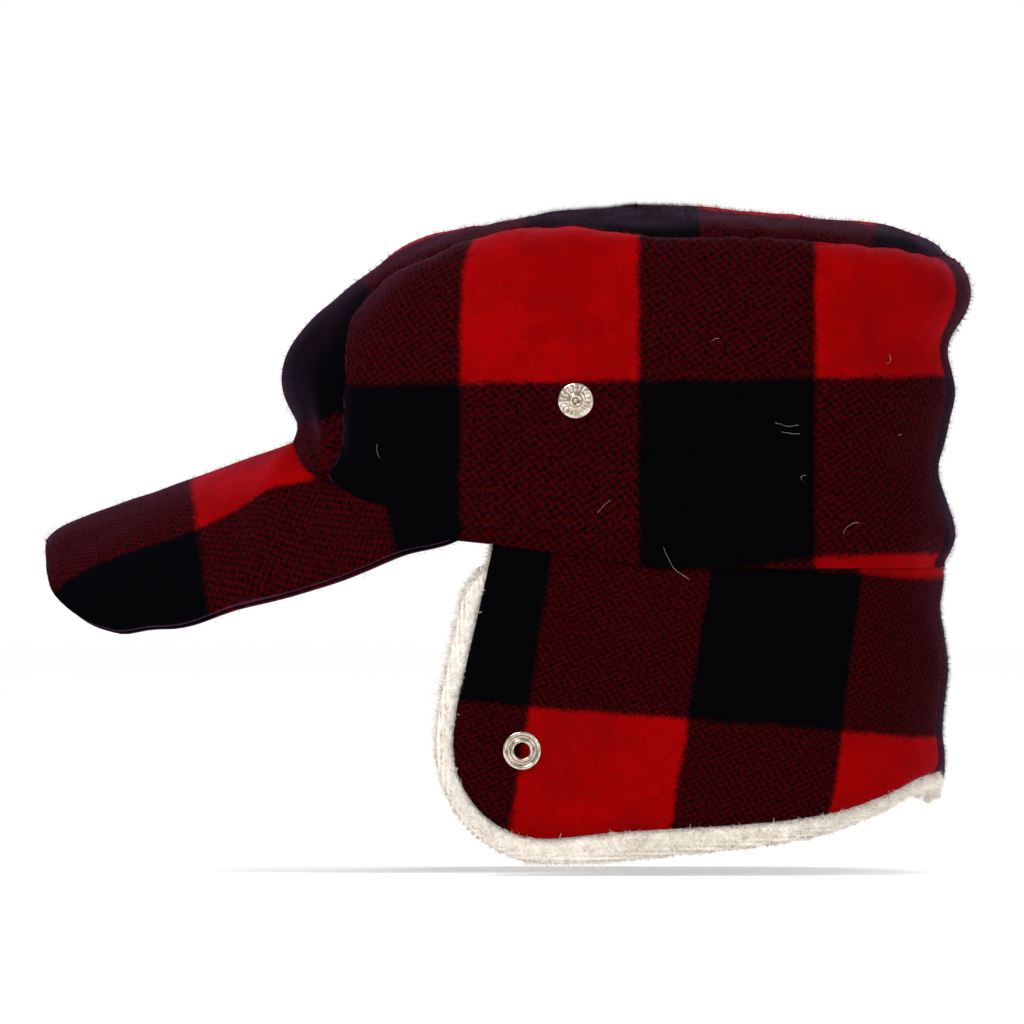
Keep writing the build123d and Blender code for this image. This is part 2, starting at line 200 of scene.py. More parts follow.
def side_of(outline, x, z):
    """Signed distance in mm from the closed outline to the points, positive inside."""
    a = np.asarray(outline, float)
    b = np.roll(a, -1, 0)
    p = np.stack([x, z], -1)[:, None, :]
    edge = (b - a)[None]
    t = np.clip(((p - a) * edge).sum(-1) / np.maximum((edge ** 2).sum(-1), 1e-9), 0, 1)
    gap = np.sqrt((((a + edge * t[..., None]) - p) ** 2).sum(-1)).min(1)
    ya, yb = a[None, :, 1], b[None, :, 1]
    crossing = (ya > p[..., 1]) != (yb > p[..., 1])
    rise = np.where(edge[..., 1] == 0, 1e-9, edge[..., 1])
    at = a[None, :, 0] + (p[..., 1] - ya) * edge[..., 0] / rise
    inside = (crossing & (p[..., 0] < at)).sum(1) % 2 == 1
    return np.where(inside, gap, -gap)


def normals_of(points, faces):
    total = np.zeros((len(points), 3))
    for f in faces:
        p = points[list(f), :3]
        n = np.cross(p[1] - p[0], p[2] - p[0])
        if len(f) > 3:
            n = n + np.cross(p[2] - p[0], p[3] - p[0])
        for i in f:
            total[i] += n
    length = np.linalg.norm(total, axis=1, keepdims=True)
    return total / np.maximum(length, 1e-12)


def border_points(faces):
    count = {}
    for f in faces:
        for i, j in zip(f, f[1:] + f[:1]):
            key = (min(i, j), max(i, j))
            count[key] = count.get(key, 0) + 1
    return {k for k, n in count.items() if n == 1}


def noise_at(points, size, seed):
    """Smooth noise from about -1 to 1 at the points, with features about size mm across."""
    shift = Vector((seed * 17.3, seed * 5.1, seed * 9.7))
    return np.array([noise.noise(Vector(p[:3]) / size + shift) for p in points]) * 1.6


def shell(points, faces, normals, outer, inner):
    """A closed shell: the surface moved by outer along its normals, and again by inner."""
    n = len(points)
    top, bottom = points.copy(), points.copy()
    top[:, :3] += normals * np.asarray(outer).reshape(-1, 1)
    bottom[:, :3] += normals * np.asarray(inner).reshape(-1, 1)
    edge = border_points(faces)
    walls = []
    for f in faces:
        for i, j in zip(f, f[1:] + f[:1]):
            if (min(i, j), max(i, j)) in edge:
                walls.append((i, i + n, j + n, j))
    back = [tuple(i + n for i in reversed(f)) for f in faces]
    return np.vstack([top, bottom]), list(faces) + back + walls


def add_fibres(points, faces, skin, normals, count, length, width, curl=0.5, lean=(0, 0, -0.3)):
    """Adds short curved fibres rooted over the skin; each takes the weave colour at its root."""
    pick = rng.integers(0, len(skin), count)
    root, out = skin[pick].copy(), normals[pick]
    root[:, :3] += rng.normal(0, 0.8, (count, 3)) * (1 - np.abs(out))
    root[:, 3:5] += rng.normal(0, 0.5, (count, 2))
    way = out + rng.normal(0, curl, (count, 3)) + np.array(lean)
    way /= np.linalg.norm(way, axis=1, keepdims=True)
    bend = rng.normal(0, curl, (count, 3))
    size = length * rng.uniform(0.4, 1.25, (count, 1))
    side = np.cross(way, rng.normal(0, 1, (count, 3)))
    side *= width / 2 / np.linalg.norm(side, axis=1, keepdims=True)
    start = root[:, :3] - out * 0.3
    middle = root[:, :3] + way * size * 0.55
    tip = root[:, :3] + (way + bend * 0.8) * size
    rows = []
    for place in (start - side, start + side, middle + side * 0.8, middle - side * 0.8, tip):
        rows.append(np.hstack([place, root[:, 3:5]]))
    blades = np.stack(rows, 1).reshape(-1, 5)
    base = len(points) + 5 * np.arange(count)
    extra = [(b, b + 1, b + 2, b + 3) for b in base.tolist()]
    extra += [(b + 3, b + 2, b + 4) for b in base.tolist()]
    return np.vstack([points, blades]), list(faces) + extra


def make_piece(name, points, faces, material, flip=False):
    """A mesh object from rows of x y z u v in mm; u and v go to the UV map in checks."""
    if flip:
        faces = [tuple(reversed(f)) for f in faces]
    mesh = bpy.data.meshes.new(name)
    mesh.from_pydata((points[:, :3] * MM).tolist(), [], faces)
    if points.shape[1] > 3:
        layer = mesh.uv_layers.new(name="weave")
        index = np.zeros(len(mesh.loops), int)
        mesh.loops.foreach_get("vertex_index", index)
        layer.data.foreach_set("uv", (points[index, 3:5] / PERIOD).astype(np.float32).ravel())
    mesh.polygons.foreach_set("use_smooth", np.full(len(mesh.polygons), True))
    mesh.validate()
    mesh.update()
    piece = bpy.data.objects.new(name, mesh)
    bpy.context.scene.collection.objects.link(piece)
    mesh.materials.append(material)
    return piece


def mirrored(points):
    other = points.copy()
    other[:, 1] *= -1
    return other


# ---- materials -----------------------------------------------------------------------------------
def new_material(name):
    material = bpy.data.materials.new(name)
    material.use_nodes = True
    tree = material.node_tree
    shader = tree.nodes["Principled BSDF"]
    return material, tree, shader


class Nodes:
    """Short calls for the nodes that the materials share."""

    def __init__(self, tree):
        self.tree = tree

    def link(self, a, b):
        self.tree.links.new(a, b)

    def put(self, socket, value):
        if isinstance(value, bpy.types.NodeSocket):
            self.link(value, socket)
        else:
            socket.default_value = value

    def math(self, operation, *values):
        node = self.tree.nodes.new("ShaderNodeMath")
        node.operation = operation
        for socket, value in zip(node.inputs, values):
            self.put(socket, value)
        return node.outputs[0]

    def swing(self, vector, scale, detail, roughness, reach):
        """Noise stretched to run from about -reach / 2 to reach / 2."""
        value = self.noise(vector, scale, detail, roughness)
        return self.math("MULTIPLY_ADD", value, reach, -reach / 2)

    def ramp(self, value, low, high, a=0.0, b=1.0):
        node = self.tree.nodes.new("ShaderNodeMapRange")
        node.interpolation_type = "SMOOTHSTEP"
        self.put(node.inputs[0], value)
        for k, x in enumerate((low, high, a, b)):
            self.put(node.inputs[k + 1], x)
        return node.outputs[0]

    def noise(self, vector, scale, detail=2.0, roughness=0.5):
        node = self.tree.nodes.new("ShaderNodeTexNoise")
        self.link(vector, node.inputs["Vector"])
        node.inputs["Scale"].default_value = scale
        node.inputs["Detail"].default_value = detail
        node.inputs["Roughness"].default_value = roughness
        return node.outputs[0]

    def mix(self, share, a, b):
        node = self.tree.nodes.new("ShaderNodeMix")
        node.data_type = "RGBA"
        self.put(node.inputs[0], share)
        self.put(node.inputs[6], a)
        self.put(node.inputs[7], b)
        return node.outputs[2]

    def bump(self, height, strength, distance):
        node = self.tree.nodes.new("ShaderNodeBump")
        self.link(height, node.inputs["Height"])
        node.inputs["Strength"].default_value = strength
        node.inputs["Distance"].default_value = distance
        return node.outputs[0]

    def uv(self):
        return self.tree.nodes.new("ShaderNodeUVMap").outputs[0]

    def place(self):
        return self.tree.nodes.new("ShaderNodeTexCoord").outputs["Object"]

    def split(self, vector):
        node = self.tree.nodes.new("ShaderNodeSeparateXYZ")
        self.link(vector, node.inputs[0])
        return node.outputs[0], node.outputs[1]


RED = (0.265, 0.0, 0.0004, 1)
DULL_RED = (0.185, 0.0, 0.0004, 1)
DEEP_RED = (0.11, 0.0, 0.0004, 1)
HALF_RED = (0.055, 0.0, 0.0004, 1)
BLACK = (0.0004, 0.0003, 0.0009, 1)
TWILL = 1.75            # mm between the dots of the twill


def plaid_wool(name):
    """Brushed wool twill in buffalo plaid. One UV unit is one check; odd checks are red."""
    material, tree, shader = new_material(name)
    n = Nodes(tree)
    uv, place = n.uv(), n.place()
    u, v = n.split(uv)
    stray = n.math("ADD", n.swing(uv, 46.0, 3.0, 0.6, 0.075), n.swing(uv, 3.0, 2.0, 0.5, 0.05))

    def stripe(length):
        wave = n.math("SINE", n.math("MULTIPLY", n.math("ADD", length, stray), math.pi))
        return n.ramp(wave, -0.07, 0.07, 1.0, 0.0)

    warp, weft = stripe(u), stripe(v)
    # the twill: two crossed waves make rows of dots on the diagonal, broken up by the nap
    turn = 2 * math.pi * PERIOD / TWILL
    jog = n.swing(uv, 26.0, 2.0, 0.5, 5.0)

    def rows_of_dots(main, other, slant, pitch):
        way = n.math("MULTIPLY_ADD", other, slant, main)
        return n.math("SINE", n.math("MULTIPLY_ADD", way, turn * pitch, jog))

    waves = n.math("ADD", rows_of_dots(u, v, 0.85, 0.62), rows_of_dots(v, u, -0.55, 0.80))
    nap_over = n.math("ADD", n.swing(uv, 85.0, 3.0, 0.65, 5.0), n.swing(uv, 42.0, 2.0, 0.6, 6.0))
    dots = n.ramp(n.math("MULTIPLY_ADD", waves, 0.6, nap_over), -2.0, 3.2)
    both = n.math("MULTIPLY", warp, weft)
    either = n.math("MAXIMUM", warp, weft)
    mixed = n.math("SUBTRACT", either, both)
    cloud = n.noise(place, 55.0, 3.0, 0.6)
    nap = n.noise(place, 900.0, 2.0, 0.7)
    red = n.mix(n.ramp(cloud, 0.3, 0.7), DULL_RED, RED)
    red = n.mix(n.ramp(nap, 0.35, 0.75, 0.0, 0.35), red, DEEP_RED)
    half = n.mix(dots, BLACK, HALF_RED)
    colour = n.mix(mixed, BLACK, half)
    colour = n.mix(both, colour, red)
    n.link(colour, shader.inputs["Base Color"])
    height = n.math("ADD", n.math("MULTIPLY", dots, 0.5), n.math("MULTIPLY", nap, 0.8))
    n.link(n.bump(height, 0.45, 0.0004), shader.inputs["Normal"])
    shader.inputs["Roughness"].default_value = 0.92
    shader.inputs["Specular IOR Level"].default_value = 0.02
    shader.inputs["Sheen Weight"].default_value = 0.10
    shader.inputs["Sheen Roughness"].default_value = 0.28
    shader.inputs["Sheen Tint"].default_value = (0.62, 0.20, 0.58, 1)
    return material


def sherpa_pile():
    material, tree, shader = new_material("sherpa")
    n = Nodes(tree)
    place = n.place()
    clump = n.noise(place, 180.0, 3.0, 0.6)
    fine = n.noise(place, 1500.0, 2.0, 0.7)
    tone = n.mix(n.ramp(clump, 0.3, 0.7), (0.84, 0.76, 0.67, 1), (0.96, 0.92, 0.85, 1))
    tone = n.mix(n.ramp(fine, 0.35, 0.7, 0.0, 0.5), tone, (0.94, 0.92, 0.87, 1))
    n.link(tone, shader.inputs["Base Color"])
    height = n.math("ADD", clump, n.math("MULTIPLY", fine, 0.6))
    n.link(n.bump(height, 0.6, 0.0008), shader.inputs["Normal"])
    shader.inputs["Roughness"].default_value = 0.95
    shader.inputs["Specular IOR Level"].default_value = 0.1
    shader.inputs["Sheen Weight"].default_value = 0.3
    shader.inputs["Sheen Roughness"].default_value = 0.5
    return material


def quilted_satin():
    material, tree, shader = new_material("quilted_satin")
    n = Nodes(tree)
    place = n.place()
    weave = n.noise(place, 1800.0, 2.0, 0.6)
    cloud = n.noise(place, 40.0, 2.0)
    colour = n.mix(n.ramp(cloud, 0.3, 0.7), (0.012, 0.012, 0.015, 1), (0.022, 0.021, 0.027, 1))
    n.link(colour, shader.inputs["Base Color"])
    n.link(n.bump(weave, 0.15, 0.0002), shader.inputs["Normal"])
    n.link(n.ramp(cloud, 0.3, 0.7, 0.34, 0.46), shader.inputs["Roughness"])
    shader.inputs["Anisotropic"].default_value = 0.4
    return material


def woven_tape(name, colour, line):
    material, tree, shader = new_material(name)
    n = Nodes(tree)
    u, v = n.split(n.uv())
    ribs = n.math("SINE", n.math("MULTIPLY", u, 2 * math.pi * PERIOD / 1.1))
    picks = n.math("SINE", n.math("MULTIPLY", v, 2 * math.pi * PERIOD / 0.8))
    weave = n.ramp(n.math("MULTIPLY", ribs, picks), -1.0, 1.0)
    speck = n.noise(n.place(), 900.0, 2.0)
    tone = n.mix(weave, line, colour)
    tone = n.mix(n.ramp(speck, 0.4, 0.8, 0.0, 0.4), tone, line)
    n.link(tone, shader.inputs["Base Color"])
    n.link(n.bump(weave, 0.4, 0.0003), shader.inputs["Normal"])
    shader.inputs["Roughness"].default_value = 0.8
    return material


def nickel(name, base, roughness):
    material, tree, shader = new_material(name)
    n = Nodes(tree)
    place = n.place()
    wear = n.noise(place, 700.0, 4.0, 0.7)
    haze = n.noise(place, 160.0, 2.0)
    n.link(n.mix(n.ramp(wear, 0.35, 0.7), base, (0.30, 0.21, 0.14, 1)), shader.inputs["Base Color"])
    n.link(n.ramp(haze, 0.3, 0.7, roughness, roughness + 0.14), shader.inputs["Roughness"])
    n.link(n.bump(wear, 0.12, 0.0002), shader.inputs["Normal"])
    shader.inputs["Metallic"].default_value = 1.0
    return material


def moulded_board():
    material, tree, shader = new_material("bill_board")
    n = Nodes(tree)
    grain = n.noise(n.place(), 500.0, 3.0)
    n.link(n.mix(grain, (0.05, 0.05, 0.05, 1), (0.09, 0.09, 0.09, 1)), shader.inputs["Base Color"])
    n.link(n.bump(grain, 0.3, 0.0003), shader.inputs["Normal"])
    shader.inputs["Roughness"].default_value = 0.6
    return material


WOOL_LOOK = plaid_wool("plaid_wool")
SHERPA_LOOK = sherpa_pile()
SATIN_LOOK = quilted_satin()
BAND_LOOK = woven_tape("sweatband_tape", (0.02, 0.02, 0.022, 1), (0.008, 0.008, 0.009, 1))
LABEL_LOOK = woven_tape("label_tape", (0.80, 0.78, 0.72, 1), (0.62, 0.60, 0.54, 1))
NICKEL_LOOK = nickel("nickel", (0.58, 0.53, 0.46, 1), 0.12)
NICKEL_BACK_LOOK = nickel("nickel_back", (0.70, 0.67, 0.62, 1), 0.25)
WIRE_LOOK = nickel("spring_wire", (0.62, 0.62, 0.62, 1), 0.2)
BOARD_LOOK = moulded_board()


# ---- crown ---------------------------------------------------------------------------------------
# side view of the seam between the top panel and the side panels, over the top and down the front
SEAM = [
    (1.06, 0.860), (0.97, 0.866), (0.865, 0.884), (0.74, 0.905), (0.57, 0.918), (0.44, 0.928),
    (0.28, 0.930), (0.10, 0.933), (0.01, 0.944), (-0.08, 0.960), (-0.20, 0.964), (-0.39, 0.945),
    (-0.51, 0.910), (-0.635, 0.865), (-0.76, 0.808), (-0.82, 0.755), (-0.865, 0.70),
    (-0.883, 0.60), (-0.89, 0.466), (-0.90, 0.33), (-0.907, 0.25), (-0.93, -1.0),
]
SEAM = [(x * HALF_LENGTH, z * HEIGHT) for x, z in SEAM]
OVER_SEAM = SEAM + [(-400.0, -120.0), (-400.0, 400.0), (400.0, 400.0), (400.0, 100.0)]


def lower_edge(x):
    """Height of the crown's lower edge at x: level at the back, rising towards the bill."""
    side = np.clip((11 - x) * math.tan(math.radians(8.3)), 0, 8)
    front = np.interp(-x, [43, 76, 92, 105, 109, 120], [0, 3.0, 11.5, 16.7, 25, 30])
    return side + front


TIP_X, ROOT_X = -192.0, -49.9
TIP_HALF, ROOT_HALF, ARCH = 58.0, 84.5, 58.0
BILL_TOP = 38.0                     # height at which the bill's top face meets the crown
BILL_RISE = math.tan(math.radians(20))


def arch_half(x):
    return np.interp(x, [TIP_X, ROOT_X], [TIP_HALF, ROOT_HALF])


def arch_height(x, y):
    """Height of the bill's top face: an arch across, rising evenly towards the crown."""
    top = 38.6 + (x + 113.4) * BILL_RISE
    return top - ARCH * (1 - np.sqrt(np.clip(1 - (y / arch_half(x)) ** 2, 0.0004, 1)))


CROWN_ROWS = 110        # grid points from the crown's lower edge to its top


def wrinkles(points):
    """The soft folds that run level across the back of the crown, in mm outward."""
    x, z = points[:, 0], points[:, 2]
    back = smoothstep(58, 100, x)
    wave = 3.2 * bump(z, 91, 13) - 3.0 * bump(z, 72, 8) + 2.6 * bump(z, 56, 9)
    wave += -3.6 * bump(z, 31, 9) + 2.6 * bump(z, 12, 9)
    skew = 0.8 + 0.4 * noise_at(points * (1, 1, 0, 1, 1), 60, 3)
    return back * wave * skew


def crown_surface(columns=300, rows=CROWN_ROWS):
    """The crown's outer face as a grid, from the centre back round the left side and on to it."""
    fine = np.linspace(0, len(LEVELS) - 1, 600)
    level = spline(LEVELS, fine)
    climb = np.hypot(np.diff(level[:, 3] * HALF_WIDTH), np.diff(level[:, 0] * HEIGHT))
    climb = np.concatenate([[0], np.cumsum(climb)])
    t = np.interp(np.linspace(0, climb[-1], rows), climb, fine)
    level = spline(LEVELS, t)
    level[:, 1:] = np.maximum(level[:, 1:], 0.0015)
    level[-1, 1:] = 0.0015
    s = np.linspace(0, PLAN_LENGTH, columns // 2 + 1)
    s_all, h = np.meshgrid(s, np.arange(rows), indexing="ij")
    sizes = level[h, 1:] * (HALF_LENGTH, HALF_LENGTH, HALF_WIDTH)
    x, y, run = plan_point(s_all.ravel(), *sizes.reshape(-1, 3).T)
    z = level[h, 0].ravel() * HEIGHT
    left = np.stack([x, y, z, run, h.ravel()], -1).reshape(-1, rows, 5)
    right = mirrored(left.reshape(-1, 5)).reshape(-1, rows, 5)
    return np.concatenate([left[::-1], right[1:]], 0)


def crown_form():
    """Points and faces of the crown; its lowest row goes down past the edge that it is cut to."""
    spare = 6.0
    grid = crown_surface()
    points = grid.reshape(-1, 5)
    points[:, 2] -= spare * (points[:, 4] == 0)
    return points, [tuple(reversed(f)) for f in grid_faces(len(grid), CROWN_ROWS)]


CROWN, CROWN_FACES = crown_form()
CROWN_NORMALS = normals_of(CROWN, CROWN_FACES)


def crown_shape(points, normals):
    """The crown's points moved: creases, seam puckers, sag and the rolls over the bill."""
    x, y, z = points[:, 0], points[:, 1], points[:, 2]
    seam = np.abs(side_of(OVER_SEAM, x, z))
    out = wrinkles(points)
    out += -2.2 * np.exp(-seam / 2.2) + 0.9 * bump(seam, 10, 7)
    out += 1.1 * noise_at(points, 48, 1) + 0.35 * noise_at(points, 14, 2)
    out += -1.6 * bump(z - lower_edge(x), 0, 5) * smoothstep(-60, -20, x)
    out += 1.0 * bump(z - lower_edge(x), 9, 7) * smoothstep(-60, -20, x)
    pucker = np.sin(x / 3.1 + 4 * noise_at(points, 30, 5)) * np.exp(-seam / 7)
    out += 0.45 * pucker
    centre_back = np.where(x < 60, np.inf, np.abs(y) * smoothstep(60, 90, x))
    out += -1.4 * np.exp(-centre_back / 2.2) * (side_of(OVER_SEAM, x, z) < 0)
    out -= 2.0 * smoothstep(106, 117, z)
    # over the bill the cloth is drawn in at the middle and rolls forward at both sides
    above_bill = z - arch_height(x, y)
    ahead = smoothstep(-84, -98, x)
    out -= 4.5 * bump(z, 42, 11) * smoothstep(-96, -106, x)
    beside = smoothstep(14, 30, np.abs(y)) * smoothstep(66, 52, np.abs(y))
    out += 5.0 * bump(above_bill, 2, 5) * ahead * beside
    press = np.hypot(x - STUD[0], z - STUD[2])
    out += -0.9 * np.exp(-((press / 8) ** 2)) * (np.abs(y) > 60)
    moved = points.copy()
    moved[:, :3] += normals * out[:, None]
    return moved


def panel(value, shaped):
    """The part of the crown, with its points shaped, where value is positive."""
    points, faces = clip(np.hstack([shaped, CROWN_NORMALS]), CROWN_FACES, value)
    return points[:, :5], faces, points[:, 5:8]


def top_weave(points):
    """Where each point of the top panel lies on the plaid, in mm."""
    return np.stack([points[:, 1] + 73.5, run_from_bill(points) - 8], -1)


def side_weave(points):
    """Where each point of a side panel lies on the plaid, in mm."""
    x, z = points[:, 0], points[:, 2]
    u = points[:, 3] - 3.9
    v = z - 0.0145 * (x + HALF_LENGTH) - 1.5
    v += 4.5 * smoothstep(75, 20, x) * (1 - smoothstep(0, 50, z))
    return np.stack([u, v], -1)


def quilting(points):
    """Padded diamonds, in mm towards the head; they fade out behind the sweatband."""
    a = (points[:, 3] + points[:, 4]) / 27
    b = (points[:, 3] - points[:, 4]) / 27
    puff = np.sqrt(np.abs(np.sin(math.pi * a) * np.sin(math.pi * b)))
    above = points[:, 2] - lower_edge(points[:, 0])
    return 2.4 * puff * smoothstep(31, 40, above)


def crown_layer(prefix, material, inset, thickness, fibres):
    """The three panels of one layer of the crown, its outer face at inset from the outside."""
    pieces = {}
    x, y, z = CROWN[:, 0], CROWN[:, 1], CROWN[:, 2]
    shaped = crown_shape(CROWN, CROWN_NORMALS)
    over = side_of(OVER_SEAM, x, z)
    above_edge = z - lower_edge(x)
    for name, value in (
        ("top_front", np.minimum(over, above_edge)),
        ("side_left", np.minimum(np.minimum(-over, above_edge), -y + 0.01)),
    ):
        points, faces, normals = panel(value, shaped)
        points[:, 3:5] = top_weave(points) if name == "top_front" else side_weave(points)
        inner = np.full(len(points), -inset - thickness)
        if prefix == "lining":
            inner -= quilting(points)
        skin = points.copy()
        points, faces = shell(points, faces, normals, np.full(len(points), -inset), inner)
        if fibres:
            points, faces = add_fibres(points, faces, skin, normals, fibres, 1.5, 0.07)
        pieces[name] = (points, faces)
    pieces["side_right"] = (mirrored(pieces["side_left"][0]), pieces["side_left"][1])
    for name, (points, faces) in pieces.items():
        turned = name == "side_right"
        piece = make_piece(f"{prefix}_{name}_cloth", points, faces, material, flip=turned)
        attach(piece, "crown")
        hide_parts(f"{prefix}_{name}")


def run_from_bill(points):
    """Length along the top panel's centre line from the bill, for each point's x and z."""
    profile = CROWN.reshape(-1, CROWN_ROWS, 5)
    middle = profile.shape[0] // 2
    front = profile[middle][:, [0, 2]]
    rear = profile[0][:, [0, 2]][::-1]
    line = np.vstack([front, rear[:-1]])
    run = np.concatenate([[0], np.cumsum(np.hypot(*np.diff(line, axis=0).T))])
    run -= np.interp(BILL_TOP, front[:, 1], run[:len(front)])
    tree = kdtree.KDTree(len(line))
    for i, p in enumerate(line):
        tree.insert((p[0], 0, p[1]), i)
    tree.balance()
    found = []
    for p in points:
        hits = tree.find_n((p[0], 0, p[2]), 3)
        weight = np.array([1 / (h[2] + 0.3) for h in hits])
        found.append((weight * [run[h[1]] for h in hits]).sum() / weight.sum())
    return np.array(found)


crown_layer("crown", WOOL_LOOK, 0.0, WOOL, fibres=14000)
crown_layer("lining", SATIN_LOOK, WOOL + 0.1, LINING, fibres=0)
INSIDE = WOOL + LINING + 0.3        # from the crown's outside to the lining's inner face


# ---- sweatband and label -------------------------------------------------------------------------
def sweatband(height=32.0):
    """A tape with hemmed edges round the inside of the opening."""
    shaped = crown_shape(CROWN, CROWN_NORMALS)
    above = CROWN[:, 2] - lower_edge(CROWN[:, 0])
    value = np.minimum(above + 0.5, height - above)
    points, faces, normals = panel(value, shaped)
    above = points[:, 2] - lower_edge(points[:, 0])
    hem = 0.5 * bump(above, 1.5, 1.2) + 0.5 * bump(above, height - 1.5, 1.2)
    points[:, 4] = above
    outer = np.full(len(points), -INSIDE)
    points, faces = shell(points, faces, normals, outer, outer - 1.3 - hem)
    piece = make_piece("sweatband_tape", points, faces, BAND_LOOK)
    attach(piece, "crown")
    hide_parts("sweatband")


def care_label(width=34.0, height=20.0, foot=6.0):
    """A blank label sewn to the sweatband at centre back, its lower edge at foot."""
    across, up = np.linspace(-width / 2, width / 2, 35), np.linspace(0, height, 21)
    y, z = (a.ravel() for a in np.meshgrid(across, up, indexing="ij"))
    points = np.stack([np.full_like(y, HALF_LENGTH), y, z + foot, y, z], -1)
    normals = np.tile((1.0, 0, 0), (len(points), 1))
    shaped = crown_shape(points, normals)
    edge = np.minimum(width / 2 - np.abs(y), np.minimum(z, height - z))
    curl = 0.5 * noise_at(points, 18, 44) + 0.25 * bump(edge, 1.3, 0.4)
    inner = -INSIDE - 2.3 + curl * 0.5
    faces = grid_faces(len(across), len(up))
    points, faces = shell(shaped, faces, normals, inner + 0.4, inner)
    piece = make_piece("care_label_tape", points, faces, LABEL_LOOK)
    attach(piece, "crown")
    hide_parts("care_label")


sweatband()
care_label()

# ---- bill ----------------------------------------------------------------------------------------
BILL_THICK = 7.0
# plan of the bill's rim on one side, from the middle of its front to its rear end
BILL_RIM = [(-188, 0), (-188, 12), (-187.9, 24), (-187.2, 35), (-184.8, 45.5), (-177.5, 54),
            (-165.5, 60), (-150, 63.4), (-125, 68.6), (-100, 73.4), (-75, 78.2), (-49.9, 83)]
EYE = (-40.0, 0.0)      # the bill's grid lines run out from this point, seen from above


def arc_across(x, y):
    """Length along the arch from its centre line."""
    half, steps = arch_half(x)[:, None], 24
    end = np.arcsin(np.clip(y[:, None] / half, -0.9998, 0.9998))
    angle = end * (np.arange(steps) + 0.5) / steps
    return (np.hypot(half * np.cos(angle), ARCH * np.sin(angle)) * end / steps).sum(1)


def bill_surface(columns=201, rows=84):
    """The bill's top face, from its root under the crown to its rim; v is the length to the rim."""
    s = np.linspace(0, PLAN_LENGTH * 0.4, 400)
    sizes = (1.03 * HALF_LENGTH, HALF_LENGTH, HALF_WIDTH)
    x, y, _ = plan_point(s, *(np.full_like(s, size) for size in sizes))
    root_angle = np.arctan2(-y, -(x - EYE[0]))
    root_reach = np.hypot(x - EYE[0], y) - 3.5
    rim = np.array(BILL_RIM)
    rim_angle = np.arctan2(rim[:, 1], -(rim[:, 0] - EYE[0]))
    rim_reach = np.hypot(rim[:, 0] - EYE[0], rim[:, 1])
    fine = np.linspace(0, len(rim) - 1, 300)
    smooth_rim = spline(np.stack([rim_angle, rim_reach], -1), fine)
    side = smooth_rim[-1, 0]
    angle = side * np.linspace(-1, 1, columns)
    near = np.interp(np.abs(angle), root_angle, root_reach)
    far = np.interp(np.abs(angle), smooth_rim[:, 0], smooth_rim[:, 1])
    share = 1 - np.linspace(1, 0, rows) ** 1.5
    reach = near[:, None] + (far - near)[:, None] * share
    x = EYE[0] - reach * np.cos(angle)[:, None]
    y = reach * np.sin(angle)[:, None]
    x, y = x.ravel(), y.ravel()
    inward = (far[:, None] - reach).ravel()
    z = arch_height(x, y) - 3.2 * np.exp(-inward / 3.5) * smoothstep(-120, -160, x)
    z += 4.5 * smoothstep(-138, -170, x) * smoothstep(28, 58, np.abs(y))
    z -= 2.5 * bump(x, -100, 25) * smoothstep(45, 72, np.abs(y))
    points = np.stack([x, y, z, x, inward], -1)
    return points, grid_faces(columns, rows)


def upward(points, faces):
    """The same surface with its faces turned to look up, and its normals."""
    normals = normals_of(points, faces)
    if normals[:, 2].mean() < 0:
        return points, [tuple(reversed(f)) for f in faces], -normals
    return points, faces, normals


def quarter_round(inward, reach):
    """Rises from 0 at the rim to 1 at reach, as a quarter of an ellipse."""
    return np.sqrt(np.clip(1 - (1 - np.clip(inward / reach, 0, 1)) ** 2, 0, 1))


def bill_covers():
    points, faces, normals = upward(*bill_surface())
    x, y, inward = points[:, 0], points[:, 1], points[:, 4]
    across = arc_across(x, y)
    # both long sides swell alike, so that neither edge shows past the other from the side
    alike = points.copy()
    alike[:, 1] = np.abs(y)
    share = smoothstep(30, 55, np.abs(y))
    swell = 0.9 * (noise_at(points, 38, 11) * (1 - share) + noise_at(alike, 38, 11) * share)
    swell += 0.3 * noise_at(points, 12, 12)
    pucker = 3.2 * bump(x + 0.35 * np.abs(y), -97, 8) * smoothstep(12, 30, np.abs(y))
    points[:, 3] = across - 5.5
    points[:, 4] = x - 7 * (across / 85) ** 2 + 141 + PERIOD
    round_off, under_round = quarter_round(inward, 4.5), quarter_round(inward, 2)
    seam = 5.4                              # the covers meet this far below the top face
    top = -seam * (1 - round_off) + (swell * 0.6 + pucker) * round_off
    top_back = -seam + (seam - 2.5) * smoothstep(0, 4, inward)
    under = -seam - (BILL_THICK - seam) * under_round + swell * 0.6 * under_round
    under_back = -seam + (seam - 4.5) * smoothstep(0, 4, inward)
    for name, sign, outer, layers in (
        ("top", 1, top, (top, top_back)),
        ("under", -1, under, (under_back, under)),
    ):
        body, skin = shell(points, faces, normals, *layers)
        face = points.copy()
        face[:, :3] += normals * outer[:, None]
        tilt = normals * sign + (inward < 3)[:, None] * outward_of_rim(points)
        body, skin = add_fibres(body, skin, face, tilt, 9000, 1.4, 0.07)
        piece = make_piece(f"bill_cover_{name}_cloth", body, skin, WOOL_LOOK)
        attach(piece, "crown")
        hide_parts(f"bill_cover_{name}")


def outward_of_rim(points):
    way = points[:, :3] - (EYE[0], EYE[1], 0)
    way[:, 2] = 0
    return way / np.linalg.norm(way, axis=1, keepdims=True)


def bill_board():
    points, faces = bill_surface(121, 40)
    points, faces, normals = upward(*clip(points, faces, points[:, 4] - 3.0))
    count = len(points)
    body, skin = shell(points, faces, normals, np.full(count, -2.6), np.full(count, -4.4))
    piece = make_piece("bill_board_core", body, skin, BOARD_LOOK)
    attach(piece, "crown")
    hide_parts("bill_board")


bill_covers()
bill_board()

